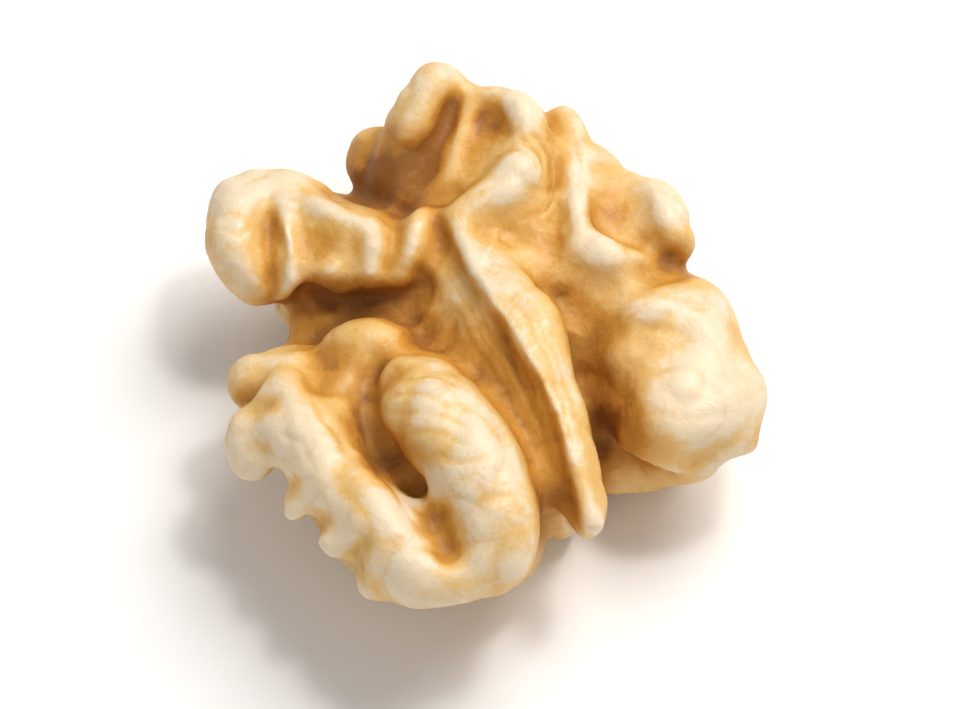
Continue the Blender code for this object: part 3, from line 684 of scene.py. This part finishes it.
def skin_tone(tree, sources):
    """The sum of all that makes the skin paler or browner, painted shade among it."""
    parts = []
    for row, (name, (middle, weight)) in enumerate(TONE_PARTS.items()):
        parts.append(scaled(tree, sources[name], middle, weight, (-1500, 1200 - 200 * row)))
    tone = parts[0]
    for row, part in enumerate(parts[1:] + [TONE_START]):
        tone = math_node(tree, "ADD", tone, part, (-1300 + 140 * row, 700))
    return tone


def skin_colour(tree, sources, colours):
    """Cream where the skin is rubbed, amber in the hollows and dark brown in the clefts; the amber and
    dark brown are partly painted shade, reached through the clefts' loss of sky.
    """
    ramp = add_node(tree, "ShaderNodeValToRGB", (-100, 500))
    ramp.color_ramp.interpolation = "B_SPLINE"
    steps = [
        (0.0, colours.cream), (0.12, colours.cream), (0.26, colours.straw), (0.40, colours.straw),
        (0.58, colours.amber), (0.74, colours.amber), (1.0, colours.umber_shade),
    ]
    while len(ramp.color_ramp.elements) < len(steps):
        ramp.color_ramp.elements.new(0.5)
    for element, (position, colour) in zip(ramp.color_ramp.elements, steps):
        element.position = position
        element.color = (*colour, 1)
    tree.links.new(skin_tone(tree, sources), ramp.inputs["Fac"])
    blush = scaled(tree, sources["blush"], BLUSH_MIDDLE, BLUSH_WEIGHT, (-300, 100))
    blush = math_node(tree, "MINIMUM", blush, BLUSH_MOST, (-100, 100))
    blush = math_node(tree, "MAXIMUM", blush, 0, (0, 0))
    skin = ramp.outputs["Color"]
    skin = mix_colour(tree, blush, skin, colours.blush, (150, 500), "SOFT_LIGHT")
    vein = math_node(tree, "MULTIPLY", sources["vein"], VEIN_TINT, (100, 100))
    return mix_colour(tree, vein, skin, colours.vein, (300, 400))


def skin_roughness(tree, sources):
    """Waxy in patches, and duller in the clefts."""
    rough = add_node(tree, "ShaderNodeMapRange", (600, 0))
    rough.inputs["From Min"].default_value, rough.inputs["From Max"].default_value = PATCHES
    rough.inputs["To Min"].default_value, rough.inputs["To Max"].default_value = ROUGHNESS
    tree.links.new(sources["patchy"], rough.inputs["Value"])
    dull = math_node(tree, "MULTIPLY", sources["cleft_shade"], CLEFT_DULLNESS, (600, -200))
    return math_node(tree, "ADD", rough.outputs["Result"], dull, (800, -100))


def skin_material(colours):
    """The kernel's thin waxy skin."""
    material = bpy.data.materials.new("kernel_skin_fine")
    material.use_nodes = True
    tree = material.node_tree
    shader = tree.nodes["Principled BSDF"]
    shader.location = (1200, 200)
    sources = skin_sources(tree)
    tree.links.new(skin_colour(tree, sources, colours), shader.inputs["Base Color"])
    tree.links.new(skin_roughness(tree, sources), shader.inputs["Roughness"])
    relief = bumped(tree, sources["pucker"], PUCKER_HEIGHT, None, (600, -400))
    relief = bumped(tree, sources["leather"], LEATHER_HEIGHT, relief, (800, -400))
    tree.links.new(relief, shader.inputs["Normal"])
    shader.inputs["Subsurface Weight"].default_value = 0.25
    shader.inputs["Subsurface Radius"].default_value = (1.0, 0.65, 0.3)
    shader.inputs["Subsurface Scale"].default_value = 0.8 * MM
    shader.inputs["Specular IOR Level"].default_value = 0.45
    shader.inputs["Coat Weight"].default_value = 0.08
    shader.inputs["Coat Roughness"].default_value = 0.3
    return material


class WALNUT_OT_kernel(bpy.types.Operator):
    """Grow the kernel's fine skin over the plain solid"""

    bl_idname = "walnut.kernel"
    bl_label = "Kernel skin"

    def execute(self, context):
        scene = context.scene
        kernel = fine_skin(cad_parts["kernel"], scene.walnut_skin)
        sculpt(kernel, scene.walnut_skin)
        mark_skin(kernel)
        mesh = kernel.data
        mesh.transform(Matrix.Scale(MM, 4) @ Matrix.Translation(-LAYOUT_SHIFT))
        points = points_of(mesh)
        points[:, 2] = np.maximum(points[:, 2], 0)
        move_points(mesh, points)
        mesh.shade_smooth()
        mesh.materials.clear()
        mesh.materials.append(skin_material(scene.walnut_colours))
        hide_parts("kernel")
        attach(kernel, "root")
        return {"FINISHED"}


def aimed(thing, place, target):
    thing.location = place
    thing.rotation_euler = (Vector(target) - Vector(place)).to_track_quat("-Z", "Y").to_euler()
    return thing


def soft_light(name, place, size, power, colour):
    light = bpy.data.lights.new(name, "AREA")
    light.shape = "DISK"
    light.size = size
    light.energy = power
    light.color = colour
    lamp = bpy.data.objects.new(name, light)
    bpy.context.scene.collection.objects.link(lamp)
    return aimed(lamp, place, LIT_POINT)


class WALNUT_OT_stage(bpy.types.Operator):
    """Set up the pale floor, the soft light and the camera"""

    bl_idname = "walnut.stage"
    bl_label = "Stage"

    def execute(self, context):
        scene = context.scene
        stage = scene.walnut_stage
        bpy.ops.object.select_all(action="DESELECT")
        bpy.ops.mesh.primitive_plane_add(size=stage.floor_size, location=(0, 0, 0))
        floor = context.object
        floor.name = "floor"
        paint = bpy.data.materials.new("floor_paint")
        paint.use_nodes = True
        shader = paint.node_tree.nodes["Principled BSDF"]
        shader.inputs["Base Color"].default_value = (*stage.floor, 1)
        shader.inputs["Roughness"].default_value = 0.6
        floor.data.materials.append(paint)

        soft_light("key", KEY_PLACE, stage.softbox, stage.key_power, WARM_WHITE)
        soft_light("spark", SPARK_PLACE, SPARK_SIZE, stage.spark_power, SPARK_WHITE)
        soft_light("fill", FILL_PLACE, FILL_SIZE, stage.fill_power, WARM_WHITE)

        world = bpy.data.worlds.new("studio")
        world.use_nodes = True
        sky = world.node_tree.nodes["Background"]
        sky.inputs["Color"].default_value = (1.0, 1.0, 1.0, 1)
        sky.inputs["Strength"].default_value = stage.sky
        scene.world = world
        scene.view_settings.view_transform = "Standard"
        scene.view_settings.look = "Medium High Contrast"

        camera = bpy.data.cameras.new("camera")
        camera.sensor_width = 36
        camera.lens = camera.sensor_width * stage.distance / stage.field
        camera.clip_start = 0.01
        camera.clip_end = 10
        eye = bpy.data.objects.new("camera", camera)
        scene.collection.objects.link(eye)
        back = Vector((0, -math.cos(stage.elevation), math.sin(stage.elevation)))
        aimed(eye, Vector(SEEN_POINT) + back * stage.distance, SEEN_POINT)
        scene.camera = eye
        return {"FINISHED"}


class WALNUT_PT_panel(bpy.types.Panel):
    """The kernel's pieces and settings"""

    bl_idname = "WALNUT_PT_panel"
    bl_label = "Walnut kernel"
    bl_space_type = "VIEW_3D"
    bl_region_type = "UI"
    bl_category = "Walnut"

    def draw(self, context):
        layout = self.layout
        for name in ("walnut_skin", "walnut_colours", "walnut_stage"):
            box = layout.box()
            group = getattr(context.scene, name)
            for key in group.__annotations__:
                box.prop(group, key)
        for operator in (WALNUT_OT_kernel, WALNUT_OT_stage):
            layout.operator(operator.bl_idname)


CLASSES = (WalnutSkin, WalnutColours, WalnutStage, WALNUT_OT_kernel, WALNUT_OT_stage, WALNUT_PT_panel)
SETTINGS = {"walnut_skin": WalnutSkin, "walnut_colours": WalnutColours, "walnut_stage": WalnutStage}


def register():
    for item in CLASSES:
        bpy.utils.register_class(item)
    for name, group in SETTINGS.items():
        setattr(bpy.types.Scene, name, PointerProperty(type=group))


def unregister():
    for name in SETTINGS:
        delattr(bpy.types.Scene, name)
    for item in reversed(CLASSES):
        bpy.utils.unregister_class(item)


def main():
    register()
    bpy.ops.walnut.kernel()
    bpy.ops.walnut.stage()


if __name__ == "__main__":
    main()
